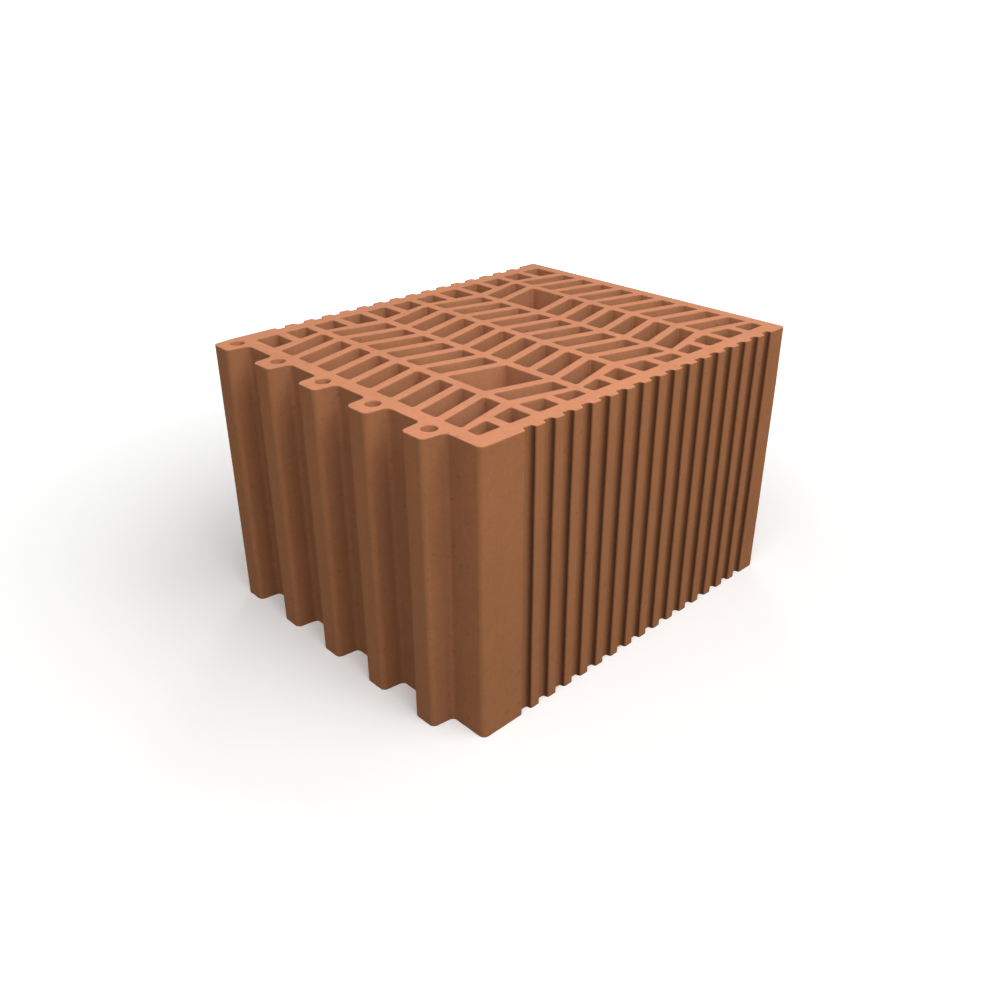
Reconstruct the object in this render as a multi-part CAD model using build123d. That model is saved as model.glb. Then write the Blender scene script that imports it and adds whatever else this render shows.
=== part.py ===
from build123d import *
import os
from math import radians, tan

# Hollow clay block, extruded along Z and cut to height. Sizes are in mm.
# X runs along the length with the tongues at its -X end, and Y through the wall that it builds.
# The origin lies at the middle of the bottom bed face.

# overall size
length = 300.0
thickness = 240.0
height = 190.0

# outer shell
tongue_end_wall = 9.8
plain_end_wall = 9.0
side_wall = 12.6
tongue_corner_radius = 4.0
plain_corner_radius = 3.0

# tongues of the vertical joint
tongue_pitch = 48.1
tongue_depth = 15.0
tongue_root_width = 20.8
tongue_taper = 1.85
tongue_tip_radius = 3.8
tongue_root_radius = 3.2
tongue_bore = 9.5
tongue_bore_setback = 12.5
front_shoulder = 20.0

# plaster grooves down both side faces
first_groove = 36.3
groove_pitch = 15.17
groove_mouth = 7.8
groove_floor = 6.2
groove_depth = 3.5
plain_shoulder = 18.0

# herringbone field of slits
columns = 6
slit_rows = 9
web = 6.2
slant_wall = 6.0
slant_angle = 14.5
slit_radius = 1.5

# short cells between the field and the side walls, measured at mid column
front_cell_depth = 12.4
back_cell_depth = 19.0
cell_slant_angle = 10.5
cell_divider = 6.5

# grips: a slanting wall left out of one column joins two slits
grip_column = 2
grip_wall = 2

# planes of the outer shell
tongue_tip = -length / 2
tongue_face = tongue_tip + tongue_depth
plain_face = length / 2
front_face = -thickness / 2
back_face = thickness / 2

# columns along X
field_start = tongue_face + tongue_end_wall
field_end = plain_face - plain_end_wall
slit_length = (field_end - field_start - (columns - 1) * web) / columns
column_pitch = slit_length + web

# rows along Y, given at the middle of a column
cells_front = front_face + side_wall
cells_back = back_face - side_wall
field_front = cells_front + front_cell_depth
field_back = cells_back - back_cell_depth
row_pitch = (field_back - field_front - slant_wall) / slit_rows
last_wall = slit_rows

# repeats that fit the faces
tongue_count = int((thickness - front_shoulder - tongue_root_width) / tongue_pitch) + 1
groove_count = int((plain_face - plain_shoulder - tongue_face - first_groove) / groove_pitch) + 1


def column_ends(column):
    start = field_start + (column - 1) * column_pitch
    return start, start + slit_length


def rise(column, x, angle=slant_angle):
    # the slanting walls climb along X in odd columns and fall in even ones
    start, end = column_ends(column)
    climb = tan(radians(angle)) * (x - (start + end) / 2)
    return climb if column % 2 == 1 else -climb


def wall_front(wall):
    return field_front + wall * row_pitch


def wall_back(wall):
    return wall_front(wall) + slant_wall


def slit(column, wall, next_wall):
    start, end = column_ends(column)
    low = wall_back(wall)
    high = wall_front(next_wall)
    shape = Polygon((start, low + rise(column, start)), (end, low + rise(column, end)),
                    (end, high + rise(column, end)), (start, high + rise(column, start)), align=None)
    return fillet(shape.vertices(), slit_radius)


def short_cells(column):
    # a divider at mid column parts the space behind each side wall in two; the walls slant less here
    start, end = column_ends(column)
    middle = (start + end) / 2
    cells = []
    for left, right in [(start, middle - cell_divider / 2), (middle + cell_divider / 2, end)]:
        left_rise = rise(column, left, cell_slant_angle)
        right_rise = rise(column, right, cell_slant_angle)
        cells.append(Polygon((left, cells_front), (right, cells_front),
                             (right, wall_front(0) + right_rise),
                             (left, wall_front(0) + left_rise), align=None))
        cells.append(Polygon((left, wall_back(last_wall) + left_rise),
                             (right, wall_back(last_wall) + right_rise),
                             (right, cells_back), (left, cells_back), align=None))
    return cells


def tongue(centre):
    root = tongue_root_width / 2
    tip = root - tongue_taper
    return Polygon((tongue_face, centre - root), (tongue_face, centre + root),
                   (tongue_tip, centre + tip), (tongue_tip, centre - tip), align=None)


def groove(centre, face, inward):
    mouth = groove_mouth / 2
    floor = groove_floor / 2
    bottom = face + inward * groove_depth
    return Polygon((centre - mouth, face), (centre + mouth, face),
                   (centre + floor, bottom), (centre - floor, bottom), align=None)


def round_corners(sketch, points, radius):
    corners = [sketch.vertices().sort_by_distance((x, y, 0))[0] for x, y in points]
    return fillet(corners, radius)


# outline: the body with its tongues and rounded corners, then the grooves
tongue_centres = [back_face - tongue_root_width / 2 - i * tongue_pitch for i in range(tongue_count)]
half_root = tongue_root_width / 2
half_tip = half_root - tongue_taper
outline = Pos((tongue_face + plain_face) / 2, 0) * Rectangle(plain_face - tongue_face, thickness)
for centre in tongue_centres:
    outline += tongue(centre)

# the hindmost tongue stands flush with the back face, so it has one root corner only
tips = [(tongue_tip, centre + side * half_tip) for centre in tongue_centres for side in (-1, 1)]
roots = [(tongue_face, centre - half_root) for centre in tongue_centres]
roots += [(tongue_face, centre + half_root) for centre in tongue_centres[1:]]
outline = round_corners(outline, tips, tongue_tip_radius)
outline = round_corners(outline, roots, tongue_root_radius)
outline = round_corners(outline, [(tongue_face, front_face)], tongue_corner_radius)
outline = round_corners(outline, [(plain_face, front_face), (plain_face, back_face)], plain_corner_radius)

for i in range(groove_count):
    centre = tongue_face + first_groove + i * groove_pitch
    outline -= groove(centre, front_face, 1)
    outline -= groove(centre, back_face, -1)

# openings: slits and grips column by column, the short cells, and the bores of the tongues
grips = {grip_column: grip_wall, columns + 1 - grip_column: last_wall - grip_wall}
openings = []
for column in range(1, columns + 1):
    walls = [wall for wall in range(last_wall + 1) if wall != grips.get(column)]
    for wall, next_wall in zip(walls, walls[1:]):
        openings.append(slit(column, wall, next_wall))
    openings += short_cells(column)
for centre in tongue_centres:
    openings.append(Pos(tongue_tip + tongue_bore_setback, centre) * Circle(tongue_bore / 2))

clay_block = extrude(outline - openings, height)

os.makedirs("parts", exist_ok=True)
export_step(clay_block, "parts/clay_block.step")
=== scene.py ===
from math import ceil, radians

import bmesh
import bpy
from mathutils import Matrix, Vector, kdtree, noise


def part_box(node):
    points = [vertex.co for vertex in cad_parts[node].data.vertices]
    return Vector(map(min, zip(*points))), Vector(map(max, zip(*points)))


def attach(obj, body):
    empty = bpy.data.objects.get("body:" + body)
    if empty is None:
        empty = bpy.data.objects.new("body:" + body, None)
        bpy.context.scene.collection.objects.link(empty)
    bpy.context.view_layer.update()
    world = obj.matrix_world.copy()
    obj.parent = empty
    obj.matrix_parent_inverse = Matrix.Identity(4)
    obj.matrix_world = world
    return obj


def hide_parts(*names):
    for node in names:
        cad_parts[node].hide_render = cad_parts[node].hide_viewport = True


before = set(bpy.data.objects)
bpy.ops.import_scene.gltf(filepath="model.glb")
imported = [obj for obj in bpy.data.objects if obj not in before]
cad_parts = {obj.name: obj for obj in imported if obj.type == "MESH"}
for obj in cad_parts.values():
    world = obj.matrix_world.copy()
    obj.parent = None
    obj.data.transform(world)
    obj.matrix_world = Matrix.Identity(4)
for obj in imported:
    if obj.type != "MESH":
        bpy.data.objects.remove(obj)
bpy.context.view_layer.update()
scene = bpy.context.scene
print("frame loaded:", ", ".join(sorted(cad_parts)))


# block: the fired body, worked up from a merged copy of its solid

block = {
    "node": "clay_block",
    "name": "fired_clay_block",
    "slot": "fired_clay",

    # reading the solid
    "samePoint": 1e-6,           # points this close are one
    "onCut": 1e-7,               # and this close to a level cut they lie on it
    "wallBelow": 0.5,            # a face whose normal rises less than this is a wall
    "panelBelow": radians(0.5),  # facets that turn less are one panel
    "sharpAbove": radians(50),   # upright corners that turn more get rounded
    "innerAbove": radians(8),    # and those that turn inwards more get painted shade
    "sideSkin": 0.0001,          # only the side faces lie closer than this to the sides of the box
    "shell": 0.004,              # and only they, their grooves and the rounded corners lie this close
    "sideways": 0.6,             # on a groove's sides a normal runs along the length by more than this
    "grooveZone": 0.03,          # the grooves start further than this behind the tips of the tongues
    "plainZone": 0.012,          # and end further than this before the plain end
    "outerRing": 0.5,            # the outer wall is longer than this all round
    "gripRing": 0.13,            # a grip is longer than this, a slit or a short cell is not
    "boreRing": 0.04,            # a bore in a tongue is shorter

    # shape
    "cellCorner": 0.0015,        # rounding of the short cells' corners
    "cellSteps": 4,
    "grooveCorner": 0.0009,      # rounding along the floors of the plaster grooves
    "grooveLip": 0.0011,         # and along their mouths
    "grooveSteps": 3,
    "stepAlong": 0.009,          # longest stretch of wall between two stations
    "stepInGroove": 0.0026,      # and in a plaster groove
    "courses": 10,               # bands that the level cuts make up the walls
    "arris": 0.0008,             # band along the cut edges that handling has rubbed
    "rubLeast": 0.14,            # share of that band lost along a fresh edge
    "rubMost": 0.52,             # and along a worn one
    "rubMean": 0.5,              # where between the two an edge mostly lies
    "rubPatches": (70.0, 0.6),   # long worn stretches: how close, and how much they add
    "rubNicks": (260.0, 0.5),    # short ones
    "wander": 0.0002,            # how far the walls sway from true
    "wanderSpan": 0.045,         # and over what length
    "wanderSeed": 7,             # so that they sway alike in each run
    "smoothBelow": radians(50),  # edges that turn more are shaded sharp

    # painted shade: how deep at an inner corner, and how far it reaches
    "slitShade": (0.24, 0.009),
    "gripShade": (0.18, 0.006),
    "jointShade": (0.30, 0.020),
    "jointPale": 0.5,            # share of the openings' paler clay at the roots of the tongues
    "grooveShade": (0.37, 0.0028),
    "grooveSide": 1.0,           # painted shade on a groove's sides, from one lip's depth down
    "grooveSideFade": (1.42, 0.3),  # where it fades: the first, less the second for each lip's depth
}


def isLevel(edge):
    a, b = edge.verts
    return abs(a.co.z - b.co.z) < block["samePoint"]


def isUpright(edge):
    a, b = edge.verts
    return (a.co.xy - b.co.xy).length < block["samePoint"]


def isWall(face):
    return abs(face.normal.z) < block["wallBelow"]


def edgeHeight(edge):
    return edge.verts[0].co.z


def cornerTurn(edge):
    # how sharply the wall turns at an upright edge
    walls = [f for f in edge.link_faces if isWall(f)]
    return abs(edge.calc_face_angle_signed()) if len(walls) == 2 else 0.0


def behindSide(point, low, high):
    return min(point.y - low.y, high.y - point.y)


def openWalls(nodeName):
    # the walls of the node's solid as whole panels, with the two bed faces taken off
    bm = bmesh.new()
    bm.from_mesh(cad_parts[nodeName].data)
    bmesh.ops.remove_doubles(bm, verts=bm.verts, dist=block["samePoint"])
    bmesh.ops.dissolve_limit(bm, angle_limit=block["panelBelow"], verts=bm.verts, edges=bm.edges)
    bmesh.ops.delete(bm, geom=[f for f in bm.faces if not isWall(f)], context="FACES")
    return bm


def roundOff(bm, edges, size, steps):
    bmesh.ops.bevel(bm, geom=edges, offset=size, offset_type="OFFSET", segments=steps,
                    profile=0.5, affect="EDGES", material=-1)


def roundUprights(bm, low, high):
    sharp = [e for e in bm.edges if isUpright(e) and cornerTurn(e) > block["sharpAbove"]]
    grooves = [e for e in sharp if behindSide(e.verts[0].co, low, high) < block["shell"]]
    cells = [e for e in sharp if e not in grooves]
    lips = [e for e in grooves if e.is_convex]
    floors = [e for e in grooves if not e.is_convex]
    print("corners rounded:", len(cells), "in cells,", len(grooves), "in grooves")
    roundOff(bm, cells, block["cellCorner"], block["cellSteps"])
    roundOff(bm, floors, block["grooveCorner"], block["grooveSteps"])
    roundOff(bm, lips, block["grooveLip"], block["grooveSteps"])


def addStations(bm, low, high):
    # long walls get upright lines, so that they can sway between their corners
    for wall in bm.faces[:]:
        foot, head = sorted((e for e in wall.edges if isLevel(e)), key=edgeHeight)
        at = foot.verts[0]
        over = min(head.verts, key=lambda v: (v.co.xy - at.co.xy).length)
        back = behindSide(wall.calc_center_median(), low, high)
        inGroove = block["sideSkin"] < back < block["shell"]
        step = block["stepInGroove"] if inGroove else block["stepAlong"]
        for left in range(ceil(foot.calc_length() / step), 1, -1):
            at = bmesh.utils.edge_split(foot, at, 1 / left)[1]
            over = bmesh.utils.edge_split(head, over, 1 / left)[1]
            strip = next(f for f in at.link_faces if f in over.link_faces)
            bmesh.utils.face_split(strip, at, over)


def addCourses(bm, low, high):
    # level cuts: even bands, and one close to each bed face for the rubbed edge
    band = (high.z - low.z) / block["courses"]
    heights = [low.z + band * i for i in range(1, block["courses"])]
    heights += [low.z + block["arris"], high.z - block["arris"]]
    for height in heights:
        bmesh.ops.bisect_plane(bm, geom=bm.verts[:] + bm.edges[:] + bm.faces[:], dist=block["onCut"],
                               plane_co=(0, 0, height), plane_no=(0, 0, 1))


def wallRings(bm):
    # the outer wall, and the wall of each opening
    rings = []
    left = set(bm.faces)
    while left:
        ring = [left.pop()]
        for face in ring:
            beside = {f for e in face.edges for f in e.link_faces} & left
            left -= beside
            ring += beside
        rings.append(ring)
    return rings


def insideCorners(ring):
    # a tree of the upright corners that the ring turns inwards at
    edges = {e for f in ring for e in f.edges if isUpright(e) and len(e.link_faces) == 2}
    spots = [e.verts[0].co for e in edges if e.calc_face_angle_signed() < -block["innerAbove"]]
    tree = kdtree.KDTree(len(spots))
    for i, spot in enumerate(spots):
        tree.insert((spot.x, spot.y, 0), i)
    tree.balance()
    return tree


def cornerShade(shade, near):
    deepest, reach = shade
    return deepest * max(0.0, 1 - near / reach)


# painted shade at a point of the outer wall: at the roots of the tongues and in the grooves
def outerShade(v, near, low, high):
    if v.co.x < low.x + block["grooveZone"]:
        return cornerShade(block["jointShade"], near)
    if v.co.x > high.x - block["plainZone"]:
        return 0.0
    if any(abs(f.normal.x) > block["sideways"] for f in v.link_faces):
        back = behindSide(v.co, low, high) / block["grooveLip"]
        start, loss = block["grooveSideFade"]
        return block["grooveSide"] * min(back, 1.0, start - loss * back)
    return cornerShade(block["grooveShade"], near)


def outerPaleness(v, near, low):
    reach = block["jointShade"][1]
    atJoint = v.co.x < low.x + block["grooveZone"]
    return cornerShade((block["jointPale"], reach), near) if atJoint else 0.0


def markOpeningsAndPaintedShade(bm, low, high):
    # marks the walls of openings, the slits and short cells that get painted shade further down, and
    # painted shade that is deepest close to an inner corner
    inside, narrow, paintedShade = (bm.verts.layers.float.new(n) for n in ("inside", "narrow", "paintedShade"))
    for ring in wallRings(bm):
        around = sum(f.calc_area() for f in ring) / (high.z - low.z)
        corners = insideCorners(ring)
        for v in {v for f in ring for v in f.verts}:
            near = corners.find((v.co.x, v.co.y, 0))[2]
            if around > block["outerRing"]:
                v[inside] = outerPaleness(v, near, low)
                v[paintedShade] = outerShade(v, near, low, high)
                continue
            v[inside] = 1.0
            if around > block["gripRing"]:
                v[paintedShade] = cornerShade(block["gripShade"], near)
            elif around > block["boreRing"]:
                v[narrow] = 1.0
                v[paintedShade] = cornerShade(block["slitShade"], near)


def closeBeds(bm, low, high):
    for height in (low.z, high.z):
        rim = [e for e in bm.edges if e.is_boundary and isLevel(e)
               and abs(edgeHeight(e) - height) < block["samePoint"]]
        bmesh.ops.triangle_fill(bm, edges=rim, use_beauty=True)
    bmesh.ops.recalc_face_normals(bm, faces=bm.faces)


def wearAt(point):
    wear = block["rubMean"]
    for closeness, gain in (block["rubPatches"], block["rubNicks"]):
        wear += gain * noise.noise(point * closeness)
    wear = max(0.0, min(1.0, wear))
    return block["rubLeast"] + (block["rubMost"] - block["rubLeast"]) * wear


def rubEdges(bm):
    # the bed faces are inset, then their rims drop back by a share that varies along them
    beds = [f for f in bm.faces if not isWall(f)]
    rim = {v for f in beds for v in f.verts}
    bmesh.ops.inset_region(bm, faces=beds, thickness=block["arris"], use_even_offset=True)
    moves = []
    for v in rim:
        aside = [e.other_vert(v).co - v.co for e in v.link_edges if e.other_vert(v) not in rim]
        moves.append((v, wearAt(v.co) * sum(aside, Vector())))
    for v, move in moves:
        v.co += move


def swayWalls(bm, low, high):
    noise.seed_set(block["wanderSeed"])
    for v in bm.verts:
        sway = noise.noise_vector(v.co / block["wanderSpan"]) * block["wander"]
        v.co.x = max(low.x, min(high.x, v.co.x + sway.x))
        v.co.y = max(low.y, min(high.y, v.co.y + sway.y))


def buildBlock():
    low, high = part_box(block["node"])
    bm = openWalls(block["node"])
    roundUprights(bm, low, high)
    addStations(bm, low, high)
    addCourses(bm, low, high)
    bm.normal_update()
    markOpeningsAndPaintedShade(bm, low, high)
    closeBeds(bm, low, high)
    rubEdges(bm)
    swayWalls(bm, low, high)
    mesh = bpy.data.meshes.new(block["name"])
    bm.to_mesh(mesh)
    bm.free()
    mesh.shade_smooth()
    mesh.set_sharp_from_angle(angle=block["smoothBelow"])
    piece = bpy.data.objects.new(block["name"], mesh)
    scene.collection.objects.link(piece)
    weigh = piece.modifiers.new("flat_walls", "WEIGHTED_NORMAL")
    weigh.keep_sharp = True
    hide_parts(block["node"])
    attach(piece, "root")
    print("block modelled:", len(mesh.vertices), "points,", len(mesh.polygons), "faces")
    return piece


clayBlock = buildBlock()


# clay: paler where the wire cut it, browner on the skin that the die pressed; painted shade in inner
# corners and down the slits

clay = {
    "cutFace": (0.655, 0.269, 0.142),
    "cutFrom": (0.35, 0.85),    # rise of a normal where the cut face starts, and where it is whole
    "skin": (0.470, 0.192, 0.081),
    "inside": (0.57, 0.250, 0.124),
    "hollowShade": 0.82,        # how much darker the painted shade makes the deepest corners
    "depthShade": 0.18,         # and the painted shade further down the slits
    "depthReach": 0.015,        # from this far down it is whole

    # patterns: how close, and how much lighter and darker
    "clouds": (22.0, 0.04),     # patches some 5 cm across
    "blotches": (130.0, 0.03),  # and some 8 mm across
    "mottle": (380.0, 0.055),   # coarse sand in the body
    "grain": (950.0, 0.03),     # and fine sand
    "streaks": (260.0, 0.02),   # drawn up the walls by the die
    "streakRun": 0.02,          # their closeness up the wall, against that across it
    "noiseDetail": 3.0,
    "noiseRoughness": 0.6,
    "noiseSpread": (0.25, 0.75),  # most of a noise lies between these

    "speckColour": (0.10, 0.055, 0.035),
    "speckCloseness": 105.0,    # cells to a metre, with a speck in each
    "speckSize": (0.06, 0.21),  # the least and the largest, against a cell
    "speckDepth": 0.36,         # how far the middle of one goes to that colour

    "bumpHeight": 0.0003,
    "bumpStrength": 0.35,
    "streakBump": 0.6,          # against the sand's
    "roughness": 0.92,
    "specular": 0.2,
}


def addNode(tree, kind, **sockets):
    node = tree.nodes.new("ShaderNode" + kind)
    for name, value in sockets.items():
        node.inputs[name].default_value = value
    return node


def noiseOn(tree, place, closeness):
    texture = addNode(tree, "TexNoise", Scale=closeness, Detail=clay["noiseDetail"],
                      Roughness=clay["noiseRoughness"])
    tree.links.new(place, texture.inputs["Vector"])
    return texture.outputs["Fac"]


def calc(tree, operation, *values):
    node = addNode(tree, "Math")
    node.operation = operation
    for socket, value in zip(node.inputs, values):
        if isinstance(value, (int, float)):
            socket.default_value = value
        else:
            tree.links.new(value, socket)
    return node.outputs[0]


def remap(tree, value, fromLow, fromHigh, toLow, toHigh):
    node = addNode(tree, "MapRange")
    node.inputs["From Min"].default_value = fromLow
    node.inputs["From Max"].default_value = fromHigh
    node.inputs["To Min"].default_value = toLow
    node.inputs["To Max"].default_value = toHigh
    tree.links.new(value, node.inputs["Value"])
    return node.outputs["Result"]


def blend(tree, share, first, second):
    node = addNode(tree, "Mix")
    node.data_type = "RGBA"
    tree.links.new(share, node.inputs["Factor"])
    for socket, value in zip((node.inputs[6], node.inputs[7]), (first, second)):  # its two colours
        if isinstance(value, tuple):
            socket.default_value = (*value, 1)
        else:
            tree.links.new(value, socket)
    return node.outputs[2]


def scaled(tree, colour, share):
    node = addNode(tree, "VectorMath")
    node.operation = "SCALE"
    tree.links.new(colour, node.inputs[0])
    tree.links.new(share, node.inputs["Scale"])
    return node.outputs[0]


def attribute(tree, name):
    node = addNode(tree, "Attribute")
    node.attribute_name = name
    return node.outputs["Fac"]


def upPart(tree, vector):
    node = addNode(tree, "SeparateXYZ")
    tree.links.new(vector, node.inputs[0])
    return node.outputs["Z"]


def cutShare(tree, normal):
    # cut faces look up or down
    level = calc(tree, "ABSOLUTE", upPart(tree, normal))
    return remap(tree, level, *clay["cutFrom"], 0, 1)


def wallColour(tree, place):
    # skin outside, paler in the openings, with painted shade in inner corners and down the slits
    wall = blend(tree, attribute(tree, "inside"), clay["skin"], clay["inside"])
    wall = scaled(tree, wall, remap(tree, attribute(tree, "paintedShade"), 0, 1, 1, 1 - clay["hollowShade"]))
    low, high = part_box(block["node"])
    middle = (low.z + high.z) / 2
    half = high.z - middle
    fromMiddle = calc(tree, "ABSOLUTE", calc(tree, "SUBTRACT", upPart(tree, place), middle))
    deep = remap(tree, fromMiddle, half, half - clay["depthReach"], 0, clay["depthShade"])
    deep = calc(tree, "MULTIPLY", deep, attribute(tree, "narrow"))
    return scaled(tree, wall, calc(tree, "SUBTRACT", 1.0, deep))


def clayPatterns(tree, place):
    # uneven firing, sand and die streaks
    drawn = addNode(tree, "Mapping", Scale=(1, 1, clay["streakRun"]))
    tree.links.new(place, drawn.inputs["Vector"])
    patterns = {}
    for name in ("clouds", "blotches", "mottle", "grain"):
        patterns[name] = noiseOn(tree, place, clay[name][0])
    patterns["streaks"] = noiseOn(tree, drawn.outputs[0], clay["streaks"][0])
    return patterns


def unevenShade(tree, patterns):
    shade = 1.0
    for name, pattern in patterns.items():
        depth = clay[name][1]
        swing = remap(tree, pattern, *clay["noiseSpread"], 1 - depth, 1 + depth)
        shade = calc(tree, "MULTIPLY", shade, swing)
    return shade


def specked(tree, place, body):
    # burnt specks, and pits shown only as painted shade, soft at their rims
    specks = addNode(tree, "TexVoronoi", Scale=clay["speckCloseness"])
    tree.links.new(place, specks.inputs["Vector"])
    pick = addNode(tree, "SeparateColor")
    tree.links.new(specks.outputs["Color"], pick.inputs[0])
    size = remap(tree, pick.outputs["Red"], 0, 1, *clay["speckSize"])
    rim = calc(tree, "DIVIDE", specks.outputs["Distance"], size)
    speck = remap(tree, rim, 0, 1, clay["speckDepth"], 0)
    return blend(tree, speck, body, clay["speckColour"])


def clayBump(tree, patterns):
    sand = calc(tree, "ADD", patterns["grain"], patterns["mottle"])
    relief = calc(tree, "ADD", sand, calc(tree, "MULTIPLY", patterns["streaks"], clay["streakBump"]))
    bump = addNode(tree, "Bump", Strength=clay["bumpStrength"], Distance=clay["bumpHeight"])
    tree.links.new(relief, bump.inputs["Height"])
    return bump.outputs[0]


def clayFinish(piece):
    material = bpy.data.materials.new("fired_clay")
    material.use_nodes = True
    tree = material.node_tree
    where = addNode(tree, "TexCoord")
    place = where.outputs["Object"]
    patterns = clayPatterns(tree, place)
    body = blend(tree, cutShare(tree, where.outputs["Normal"]), wallColour(tree, place), clay["cutFace"])
    body = scaled(tree, body, unevenShade(tree, patterns))
    body = specked(tree, place, body)
    shader = tree.nodes["Principled BSDF"]
    tree.links.new(body, shader.inputs["Base Color"])
    tree.links.new(clayBump(tree, patterns), shader.inputs["Normal"])
    shader.inputs["Roughness"].default_value = clay["roughness"]
    shader.inputs["Specular IOR Level"].default_value = clay["specular"]
    piece.data.materials.clear()
    piece.data.materials.append(material)
    print("clay finished")


clayFinish(clayBlock)


# camera: stands where the photograph was taken from

photoView = {
    "place": (-0.4346, -0.4428, 0.3934),
    "aim": (-0.0161, -0.0111, 0.0757),
    "lens": 34.75,
    "sensor": 36.0,
}


def turnTowards(thing, target):
    look = Vector(target) - thing.location
    thing.rotation_euler = look.to_track_quat("-Z", "Y").to_euler()


def addCamera():
    lensData = bpy.data.cameras.new("photo_camera")
    lensData.lens = photoView["lens"]
    lensData.sensor_width = photoView["sensor"]
    camera = bpy.data.objects.new("photo_camera", lensData)
    camera.location = photoView["place"]
    turnTowards(camera, photoView["aim"])
    scene.collection.objects.link(camera)
    scene.camera = camera
    print("camera placed")


addCamera()


# studio: a broad soft lamp above, smaller ones at the toothed end and behind, a dim sky and a pale floor

studio = {
    "lamps": {
        "soft_lamp": {"from": (-0.13, -0.53, 0.84), "away": 1.2, "size": 1.4, "power": 16.2, "gloss": True},
        "fill_lamp": {"from": (-1.0, -0.20, 0.40), "away": 1.5, "size": 1.0, "power": 2.0, "gloss": False},
        "rear_lamp": {"from": (0.8, 0.8, 0.06), "away": 1.6, "size": 0.6, "power": 10.0, "gloss": False},
    },
    "aim": (0.0, 0.0, 0.15),
    "sky": (1.0, 0.99, 0.97),
    "skyStrength": 0.22,
    "floorSize": 60.0,
    "floorColour": (0.93, 0.93, 0.93),
    "floorGlow": (0.12, 0.90),  # takes the seen floor up to white, near the block and far off
    "floorReach": (0.25, 1.0),  # where the one gives way to the other
    "floorBounce": (0.10, 0.10, 0.10),
}


def addLamp(name):
    plan = studio["lamps"][name]
    lampData = bpy.data.lights.new(name, "AREA")
    lampData.shape = "DISK"
    lampData.size = plan["size"]
    lampData.energy = plan["power"]
    lamp = bpy.data.objects.new(name, lampData)
    lamp.location = Vector(studio["aim"]) + Vector(plan["from"]).normalized() * plan["away"]
    lamp.visible_glossy = plan["gloss"]
    turnTowards(lamp, studio["aim"])
    scene.collection.objects.link(lamp)


def seenOrLit(tree, lit, seen, out):
    # one shader lights the block, the other shows to rays that see the backdrop, straight or in a gloss
    path = addNode(tree, "LightPath")
    looks = calc(tree, "MAXIMUM", path.outputs["Is Camera Ray"], path.outputs["Is Glossy Ray"])
    looks = calc(tree, "MAXIMUM", looks, path.outputs["Is Transmission Ray"])
    mix = addNode(tree, "MixShader")
    tree.links.new(looks, mix.inputs[0])
    tree.links.new(lit.outputs[0], mix.inputs[1])
    tree.links.new(seen.outputs[0], mix.inputs[2])
    tree.links.new(mix.outputs[0], out.inputs["Surface"])


def addSky():
    world = bpy.data.worlds.new("studio_sky")
    world.use_nodes = True
    scene.world = world
    tree = world.node_tree
    tree.nodes.clear()
    dim = addNode(tree, "Background", Color=(*studio["sky"], 1), Strength=studio["skyStrength"])
    white = addNode(tree, "Background", Color=(1, 1, 1, 1), Strength=1.0)
    seenOrLit(tree, dim, white, addNode(tree, "OutputWorld"))


def floorFinish():
    material = bpy.data.materials.new("pale_floor")
    material.use_nodes = True
    tree = material.node_tree
    pale = tree.nodes["Principled BSDF"]
    pale.inputs["Base Color"].default_value = (*studio["floorColour"], 1)
    pale.inputs["Roughness"].default_value = 1.0
    pale.inputs["Specular IOR Level"].default_value = 0.0
    pale.inputs["Emission Color"].default_value = (1, 1, 1, 1)
    where = addNode(tree, "TexCoord")
    away = addNode(tree, "VectorMath")
    away.operation = "LENGTH"
    tree.links.new(where.outputs["Object"], away.inputs[0])
    glow = remap(tree, away.outputs["Value"], *studio["floorReach"], *studio["floorGlow"])
    tree.links.new(glow, pale.inputs["Emission Strength"])
    dull = addNode(tree, "BsdfDiffuse", Color=(*studio["floorBounce"], 1))
    seenOrLit(tree, dull, pale, tree.nodes["Material Output"])
    return material


def addFloor():
    bm = bmesh.new()
    bmesh.ops.create_grid(bm, x_segments=1, y_segments=1, size=studio["floorSize"] / 2)
    mesh = bpy.data.meshes.new("floor")
    bm.to_mesh(mesh)
    bm.free()
    mesh.materials.append(floorFinish())
    floor = bpy.data.objects.new("floor", mesh)
    scene.collection.objects.link(floor)


for lampName in studio["lamps"]:
    addLamp(lampName)
addSky()
addFloor()
scene.view_settings.view_transform = "Standard"
print("studio lit")
